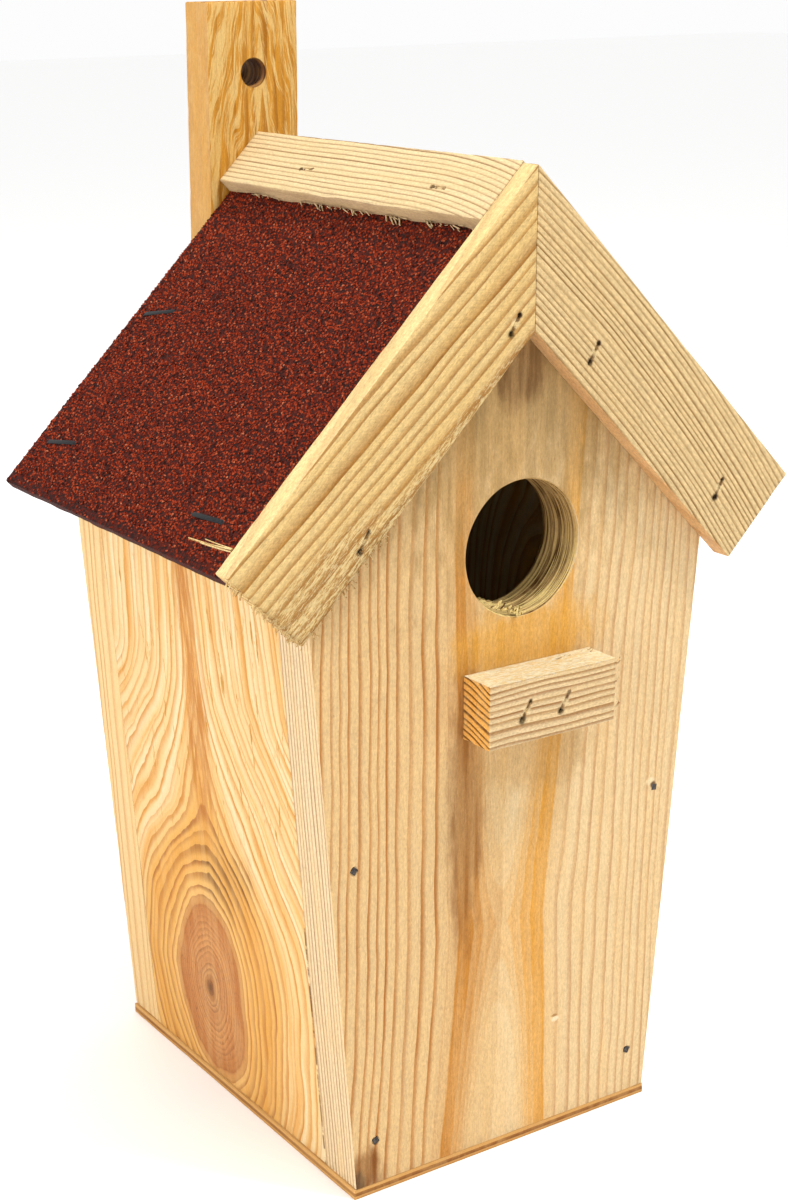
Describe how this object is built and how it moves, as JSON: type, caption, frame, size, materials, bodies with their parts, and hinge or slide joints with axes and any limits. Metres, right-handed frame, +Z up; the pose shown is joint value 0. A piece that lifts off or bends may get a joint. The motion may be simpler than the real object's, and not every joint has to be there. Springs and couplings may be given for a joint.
{
  "type": "birdhouse",
  "caption": "Gabled wooden nest box with leaning sides, a round entrance, a perch block, a felted roof with bargeboards and a batten to hang it by.",
  "frame": {"origin": "middle of the overall footprint, level with the floor plate's underside", "axes": "+X to the right of the front, +Y towards the wall behind the batten, +Z up"},
  "size_m": [0.1586, 0.131, 0.2731],
  "materials": {
    "pine_front": "planed, unfinished",
    "pine_side": "planed, unfinished, knotty",
    "pine_trim": "sawn, unfinished",
    "pine_batten": "planed, unfinished",
    "pale_lath": "sawn, unfinished",
    "plywood": "thin three-ply, unfinished",
    "roofing_felt": "bitumen with mineral granules",
    "bright_steel": "galvanised wire",
    "dark_steel": "blackened wire"
  },
  "bodies": {
    "root": {"front_panel": "pine_front", "back_panel": "pine_front", "left_side": "pine_side", "right_side": "pine_side", "floor_plate": "plywood", "roof_deck_left": "plywood", "roof_deck_right": "plywood", "roof_felt_left": "roofing_felt", "roof_felt_right": "roofing_felt", "ridge_cap_left": "pale_lath", "ridge_cap_right": "pale_lath", "bargeboard_left": "pine_trim", "bargeboard_right": "pine_trim", "perch_block": "pine_trim", "mounting_batten": "pine_batten", "front_brads": "bright_steel", "back_brads": "bright_steel", "floor_brads": "bright_steel", "batten_brads": "bright_steel", "deck_brads_left": "bright_steel", "deck_brads_right": "bright_steel", "bargeboard_staples_left": "bright_steel", "bargeboard_staples_right": "bright_steel", "perch_staples": "bright_steel", "ridge_cap_staples_left": "bright_steel", "ridge_cap_staples_right": "bright_steel", "felt_staples_left": "dark_steel", "felt_staples_right": "dark_steel"}
  },
  "joints": []
}
